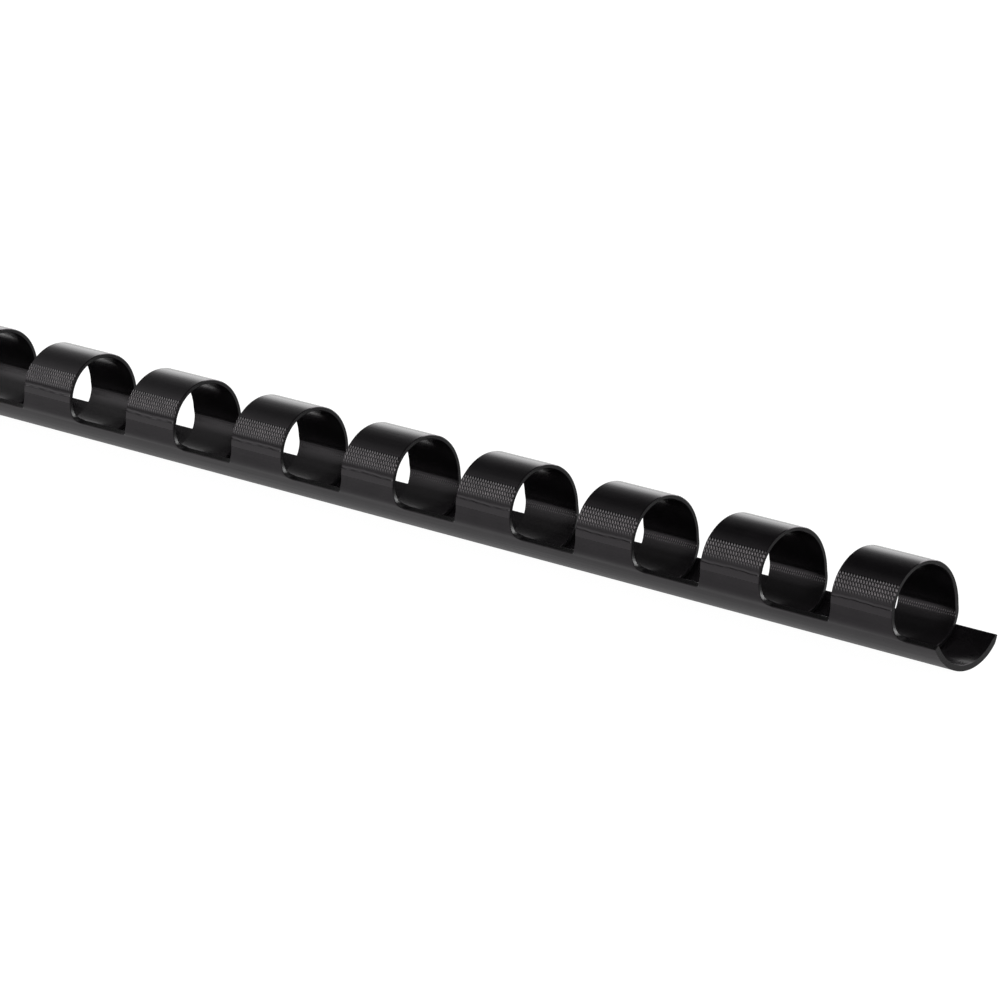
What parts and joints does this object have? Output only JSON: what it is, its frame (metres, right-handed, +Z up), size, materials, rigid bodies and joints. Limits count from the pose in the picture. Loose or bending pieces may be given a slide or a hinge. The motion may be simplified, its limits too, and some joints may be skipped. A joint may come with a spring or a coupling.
{
  "type": "plastic binding comb",
  "caption": "Plastic comb spine with a row of curled fingers that uncurl to take the punched edge of a booklet and spring closed to hold it.",
  "frame": {"origin": "centre of the bounding box's base, under the middle finger", "axes": "+X along the comb, +Y to the back, where the fingers tuck in, +Z up from the spine to the top of the rings"},
  "size_m": [0.3012, 0.0078, 0.0079],
  "materials": {
    "spine_pvc": "black rigid PVC, calendered satin, faint lengthwise grain",
    "finger_pvc": "black rigid PVC, semi-gloss where it is curled, with an embossed band low on the front"
  },
  "bodies": {
    "spine": {"spine_front": "spine_pvc", "spine_floor": "spine_pvc", "spine_rear": "spine_pvc"},
    "ring_01_arch": {"ring_01_arch": "finger_pvc"},
    "ring_01_hook": {"ring_01_hook": "finger_pvc"},
    "ring_02_arch": {"ring_02_arch": "finger_pvc"},
    "ring_02_hook": {"ring_02_hook": "finger_pvc"},
    "ring_03_arch": {"ring_03_arch": "finger_pvc"},
    "ring_03_hook": {"ring_03_hook": "finger_pvc"},
    "ring_04_arch": {"ring_04_arch": "finger_pvc"},
    "ring_04_hook": {"ring_04_hook": "finger_pvc"},
    "ring_05_arch": {"ring_05_arch": "finger_pvc"},
    "ring_05_hook": {"ring_05_hook": "finger_pvc"},
    "ring_06_arch": {"ring_06_arch": "finger_pvc"},
    "ring_06_hook": {"ring_06_hook": "finger_pvc"},
    "ring_07_arch": {"ring_07_arch": "finger_pvc"},
    "ring_07_hook": {"ring_07_hook": "finger_pvc"},
    "ring_08_arch": {"ring_08_arch": "finger_pvc"},
    "ring_08_hook": {"ring_08_hook": "finger_pvc"},
    "ring_09_arch": {"ring_09_arch": "finger_pvc"},
    "ring_09_hook": {"ring_09_hook": "finger_pvc"},
    "ring_10_arch": {"ring_10_arch": "finger_pvc"},
    "ring_10_hook": {"ring_10_hook": "finger_pvc"},
    "ring_11_arch": {"ring_11_arch": "finger_pvc"},
    "ring_11_hook": {"ring_11_hook": "finger_pvc"},
    "ring_12_arch": {"ring_12_arch": "finger_pvc"},
    "ring_12_hook": {"ring_12_hook": "finger_pvc"},
    "ring_13_arch": {"ring_13_arch": "finger_pvc"},
    "ring_13_hook": {"ring_13_hook": "finger_pvc"},
    "ring_14_arch": {"ring_14_arch": "finger_pvc"},
    "ring_14_hook": {"ring_14_hook": "finger_pvc"},
    "ring_15_arch": {"ring_15_arch": "finger_pvc"},
    "ring_15_hook": {"ring_15_hook": "finger_pvc"},
    "ring_16_arch": {"ring_16_arch": "finger_pvc"},
    "ring_16_hook": {"ring_16_hook": "finger_pvc"},
    "ring_17_arch": {"ring_17_arch": "finger_pvc"},
    "ring_17_hook": {"ring_17_hook": "finger_pvc"},
    "ring_18_arch": {"ring_18_arch": "finger_pvc"},
    "ring_18_hook": {"ring_18_hook": "finger_pvc"},
    "ring_19_arch": {"ring_19_arch": "finger_pvc"},
    "ring_19_hook": {"ring_19_hook": "finger_pvc"},
    "ring_20_arch": {"ring_20_arch": "finger_pvc"},
    "ring_20_hook": {"ring_20_hook": "finger_pvc"},
    "ring_21_arch": {"ring_21_arch": "finger_pvc"},
    "ring_21_hook": {"ring_21_hook": "finger_pvc"}
  },
  "joints": [
    {"name": "ring_01_root_bend", "type": "hinge", "parent": "spine", "child": "ring_01_arch", "pos_m": [-0.14288, -0.00367, 0.00402], "axis": [1, 0, 0], "range_deg": [0, 45], "stiffness_Nm_per_rad": 0.01},
    {"name": "ring_01_top_bend", "type": "hinge", "parent": "ring_01_arch", "child": "ring_01_hook", "pos_m": [-0.14288, -0.00126, 0.00746], "axis": [1, 0, 0], "range_deg": [0, 45], "stiffness_Nm_per_rad": 0.01},
    {"name": "ring_02_root_bend", "type": "hinge", "parent": "spine", "child": "ring_02_arch", "pos_m": [-0.12859, -0.00367, 0.00402], "axis": [1, 0, 0], "range_deg": [0, 45], "stiffness_Nm_per_rad": 0.01},
    {"name": "ring_02_top_bend", "type": "hinge", "parent": "ring_02_arch", "child": "ring_02_hook", "pos_m": [-0.12859, -0.00126, 0.00746], "axis": [1, 0, 0], "range_deg": [0, 45], "stiffness_Nm_per_rad": 0.01},
    {"name": "ring_03_root_bend", "type": "hinge", "parent": "spine", "child": "ring_03_arch", "pos_m": [-0.1143, -0.00367, 0.00402], "axis": [1, 0, 0], "range_deg": [0, 45], "stiffness_Nm_per_rad": 0.01},
    {"name": "ring_03_top_bend", "type": "hinge", "parent": "ring_03_arch", "child": "ring_03_hook", "pos_m": [-0.1143, -0.00126, 0.00746], "axis": [1, 0, 0], "range_deg": [0, 45], "stiffness_Nm_per_rad": 0.01},
    {"name": "ring_04_root_bend", "type": "hinge", "parent": "spine", "child": "ring_04_arch", "pos_m": [-0.10001, -0.00367, 0.00402], "axis": [1, 0, 0], "range_deg": [0, 45], "stiffness_Nm_per_rad": 0.01},
    {"name": "ring_04_top_bend", "type": "hinge", "parent": "ring_04_arch", "child": "ring_04_hook", "pos_m": [-0.10001, -0.00126, 0.00746], "axis": [1, 0, 0], "range_deg": [0, 45], "stiffness_Nm_per_rad": 0.01},
    {"name": "ring_05_root_bend", "type": "hinge", "parent": "spine", "child": "ring_05_arch", "pos_m": [-0.08572, -0.00367, 0.00402], "axis": [1, 0, 0], "range_deg": [0, 45], "stiffness_Nm_per_rad": 0.01},
    {"name": "ring_05_top_bend", "type": "hinge", "parent": "ring_05_arch", "child": "ring_05_hook", "pos_m": [-0.08572, -0.00126, 0.00746], "axis": [1, 0, 0], "range_deg": [0, 45], "stiffness_Nm_per_rad": 0.01},
    {"name": "ring_06_root_bend", "type": "hinge", "parent": "spine", "child": "ring_06_arch", "pos_m": [-0.07144, -0.00367, 0.00402], "axis": [1, 0, 0], "range_deg": [0, 45], "stiffness_Nm_per_rad": 0.01},
    {"name": "ring_06_top_bend", "type": "hinge", "parent": "ring_06_arch", "child": "ring_06_hook", "pos_m": [-0.07144, -0.00126, 0.00746], "axis": [1, 0, 0], "range_deg": [0, 45], "stiffness_Nm_per_rad": 0.01},
    {"name": "ring_07_root_bend", "type": "hinge", "parent": "spine", "child": "ring_07_arch", "pos_m": [-0.05715, -0.00367, 0.00402], "axis": [1, 0, 0], "range_deg": [0, 45], "stiffness_Nm_per_rad": 0.01},
    {"name": "ring_07_top_bend", "type": "hinge", "parent": "ring_07_arch", "child": "ring_07_hook", "pos_m": [-0.05715, -0.00126, 0.00746], "axis": [1, 0, 0], "range_deg": [0, 45], "stiffness_Nm_per_rad": 0.01},
    {"name": "ring_08_root_bend", "type": "hinge", "parent": "spine", "child": "ring_08_arch", "pos_m": [-0.04286, -0.00367, 0.00402], "axis": [1, 0, 0], "range_deg": [0, 45], "stiffness_Nm_per_rad": 0.01},
    {"name": "ring_08_top_bend", "type": "hinge", "parent": "ring_08_arch", "child": "ring_08_hook", "pos_m": [-0.04286, -0.00126, 0.00746], "axis": [1, 0, 0], "range_deg": [0, 45], "stiffness_Nm_per_rad": 0.01},
    {"name": "ring_09_root_bend", "type": "hinge", "parent": "spine", "child": "ring_09_arch", "pos_m": [-0.02857, -0.00367, 0.00402], "axis": [1, 0, 0], "range_deg": [0, 45], "stiffness_Nm_per_rad": 0.01},
    {"name": "ring_09_top_bend", "type": "hinge", "parent": "ring_09_arch", "child": "ring_09_hook", "pos_m": [-0.02857, -0.00126, 0.00746], "axis": [1, 0, 0], "range_deg": [0, 45], "stiffness_Nm_per_rad": 0.01},
    {"name": "ring_10_root_bend", "type": "hinge", "parent": "spine", "child": "ring_10_arch", "pos_m": [-0.01429, -0.00367, 0.00402], "axis": [1, 0, 0], "range_deg": [0, 45], "stiffness_Nm_per_rad": 0.01},
    {"name": "ring_10_top_bend", "type": "hinge", "parent": "ring_10_arch", "child": "ring_10_hook", "pos_m": [-0.01429, -0.00126, 0.00746], "axis": [1, 0, 0], "range_deg": [0, 45], "stiffness_Nm_per_rad": 0.01},
    {"name": "ring_11_root_bend", "type": "hinge", "parent": "spine", "child": "ring_11_arch", "pos_m": [0, -0.00367, 0.00402], "axis": [1, 0, 0], "range_deg": [0, 45], "stiffness_Nm_per_rad": 0.01},
    {"name": "ring_11_top_bend", "type": "hinge", "parent": "ring_11_arch", "child": "ring_11_hook", "pos_m": [0, -0.00126, 0.00746], "axis": [1, 0, 0], "range_deg": [0, 45], "stiffness_Nm_per_rad": 0.01},
    {"name": "ring_12_root_bend", "type": "hinge", "parent": "spine", "child": "ring_12_arch", "pos_m": [0.01429, -0.00367, 0.00402], "axis": [1, 0, 0], "range_deg": [0, 45], "stiffness_Nm_per_rad": 0.01},
    {"name": "ring_12_top_bend", "type": "hinge", "parent": "ring_12_arch", "child": "ring_12_hook", "pos_m": [0.01429, -0.00126, 0.00746], "axis": [1, 0, 0], "range_deg": [0, 45], "stiffness_Nm_per_rad": 0.01},
    {"name": "ring_13_root_bend", "type": "hinge", "parent": "spine", "child": "ring_13_arch", "pos_m": [0.02857, -0.00367, 0.00402], "axis": [1, 0, 0], "range_deg": [0, 45], "stiffness_Nm_per_rad": 0.01},
    {"name": "ring_13_top_bend", "type": "hinge", "parent": "ring_13_arch", "child": "ring_13_hook", "pos_m": [0.02857, -0.00126, 0.00746], "axis": [1, 0, 0], "range_deg": [0, 45], "stiffness_Nm_per_rad": 0.01},
    {"name": "ring_14_root_bend", "type": "hinge", "parent": "spine", "child": "ring_14_arch", "pos_m": [0.04286, -0.00367, 0.00402], "axis": [1, 0, 0], "range_deg": [0, 45], "stiffness_Nm_per_rad": 0.01},
    {"name": "ring_14_top_bend", "type": "hinge", "parent": "ring_14_arch", "child": "ring_14_hook", "pos_m": [0.04286, -0.00126, 0.00746], "axis": [1, 0, 0], "range_deg": [0, 45], "stiffness_Nm_per_rad": 0.01},
    {"name": "ring_15_root_bend", "type": "hinge", "parent": "spine", "child": "ring_15_arch", "pos_m": [0.05715, -0.00367, 0.00402], "axis": [1, 0, 0], "range_deg": [0, 45], "stiffness_Nm_per_rad": 0.01},
    {"name": "ring_15_top_bend", "type": "hinge", "parent": "ring_15_arch", "child": "ring_15_hook", "pos_m": [0.05715, -0.00126, 0.00746], "axis": [1, 0, 0], "range_deg": [0, 45], "stiffness_Nm_per_rad": 0.01},
    {"name": "ring_16_root_bend", "type": "hinge", "parent": "spine", "child": "ring_16_arch", "pos_m": [0.07144, -0.00367, 0.00402], "axis": [1, 0, 0], "range_deg": [0, 45], "stiffness_Nm_per_rad": 0.01},
    {"name": "ring_16_top_bend", "type": "hinge", "parent": "ring_16_arch", "child": "ring_16_hook", "pos_m": [0.07144, -0.00126, 0.00746], "axis": [1, 0, 0], "range_deg": [0, 45], "stiffness_Nm_per_rad": 0.01},
    {"name": "ring_17_root_bend", "type": "hinge", "parent": "spine", "child": "ring_17_arch", "pos_m": [0.08572, -0.00367, 0.00402], "axis": [1, 0, 0], "range_deg": [0, 45], "stiffness_Nm_per_rad": 0.01},
    {"name": "ring_17_top_bend", "type": "hinge", "parent": "ring_17_arch", "child": "ring_17_hook", "pos_m": [0.08572, -0.00126, 0.00746], "axis": [1, 0, 0], "range_deg": [0, 45], "stiffness_Nm_per_rad": 0.01},
    {"name": "ring_18_root_bend", "type": "hinge", "parent": "spine", "child": "ring_18_arch", "pos_m": [0.10001, -0.00367, 0.00402], "axis": [1, 0, 0], "range_deg": [0, 45], "stiffness_Nm_per_rad": 0.01},
    {"name": "ring_18_top_bend", "type": "hinge", "parent": "ring_18_arch", "child": "ring_18_hook", "pos_m": [0.10001, -0.00126, 0.00746], "axis": [1, 0, 0], "range_deg": [0, 45], "stiffness_Nm_per_rad": 0.01},
    {"name": "ring_19_root_bend", "type": "hinge", "parent": "spine", "child": "ring_19_arch", "pos_m": [0.1143, -0.00367, 0.00402], "axis": [1, 0, 0], "range_deg": [0, 45], "stiffness_Nm_per_rad": 0.01},
    {"name": "ring_19_top_bend", "type": "hinge", "parent": "ring_19_arch", "child": "ring_19_hook", "pos_m": [0.1143, -0.00126, 0.00746], "axis": [1, 0, 0], "range_deg": [0, 45], "stiffness_Nm_per_rad": 0.01},
    {"name": "ring_20_root_bend", "type": "hinge", "parent": "spine", "child": "ring_20_arch", "pos_m": [0.12859, -0.00367, 0.00402], "axis": [1, 0, 0], "range_deg": [0, 45], "stiffness_Nm_per_rad": 0.01},
    {"name": "ring_20_top_bend", "type": "hinge", "parent": "ring_20_arch", "child": "ring_20_hook", "pos_m": [0.12859, -0.00126, 0.00746], "axis": [1, 0, 0], "range_deg": [0, 45], "stiffness_Nm_per_rad": 0.01},
    {"name": "ring_21_root_bend", "type": "hinge", "parent": "spine", "child": "ring_21_arch", "pos_m": [0.14288, -0.00367, 0.00402], "axis": [1, 0, 0], "range_deg": [0, 45], "stiffness_Nm_per_rad": 0.01},
    {"name": "ring_21_top_bend", "type": "hinge", "parent": "ring_21_arch", "child": "ring_21_hook", "pos_m": [0.14288, -0.00126, 0.00746], "axis": [1, 0, 0], "range_deg": [0, 45], "stiffness_Nm_per_rad": 0.01}
  ],
  "couplings": [
    {"joint": "ring_01_top_bend", "follows": "ring_01_root_bend", "ratio": 1},
    {"joint": "ring_02_top_bend", "follows": "ring_02_root_bend", "ratio": 1},
    {"joint": "ring_03_top_bend", "follows": "ring_03_root_bend", "ratio": 1},
    {"joint": "ring_04_top_bend", "follows": "ring_04_root_bend", "ratio": 1},
    {"joint": "ring_05_top_bend", "follows": "ring_05_root_bend", "ratio": 1},
    {"joint": "ring_06_top_bend", "follows": "ring_06_root_bend", "ratio": 1},
    {"joint": "ring_07_top_bend", "follows": "ring_07_root_bend", "ratio": 1},
    {"joint": "ring_08_top_bend", "follows": "ring_08_root_bend", "ratio": 1},
    {"joint": "ring_09_top_bend", "follows": "ring_09_root_bend", "ratio": 1},
    {"joint": "ring_10_top_bend", "follows": "ring_10_root_bend", "ratio": 1},
    {"joint": "ring_11_top_bend", "follows": "ring_11_root_bend", "ratio": 1},
    {"joint": "ring_12_top_bend", "follows": "ring_12_root_bend", "ratio": 1},
    {"joint": "ring_13_top_bend", "follows": "ring_13_root_bend", "ratio": 1},
    {"joint": "ring_14_top_bend", "follows": "ring_14_root_bend", "ratio": 1},
    {"joint": "ring_15_top_bend", "follows": "ring_15_root_bend", "ratio": 1},
    {"joint": "ring_16_top_bend", "follows": "ring_16_root_bend", "ratio": 1},
    {"joint": "ring_17_top_bend", "follows": "ring_17_root_bend", "ratio": 1},
    {"joint": "ring_18_top_bend", "follows": "ring_18_root_bend", "ratio": 1},
    {"joint": "ring_19_top_bend", "follows": "ring_19_root_bend", "ratio": 1},
    {"joint": "ring_20_top_bend", "follows": "ring_20_root_bend", "ratio": 1},
    {"joint": "ring_21_top_bend", "follows": "ring_21_root_bend", "ratio": 1}
  ]
}
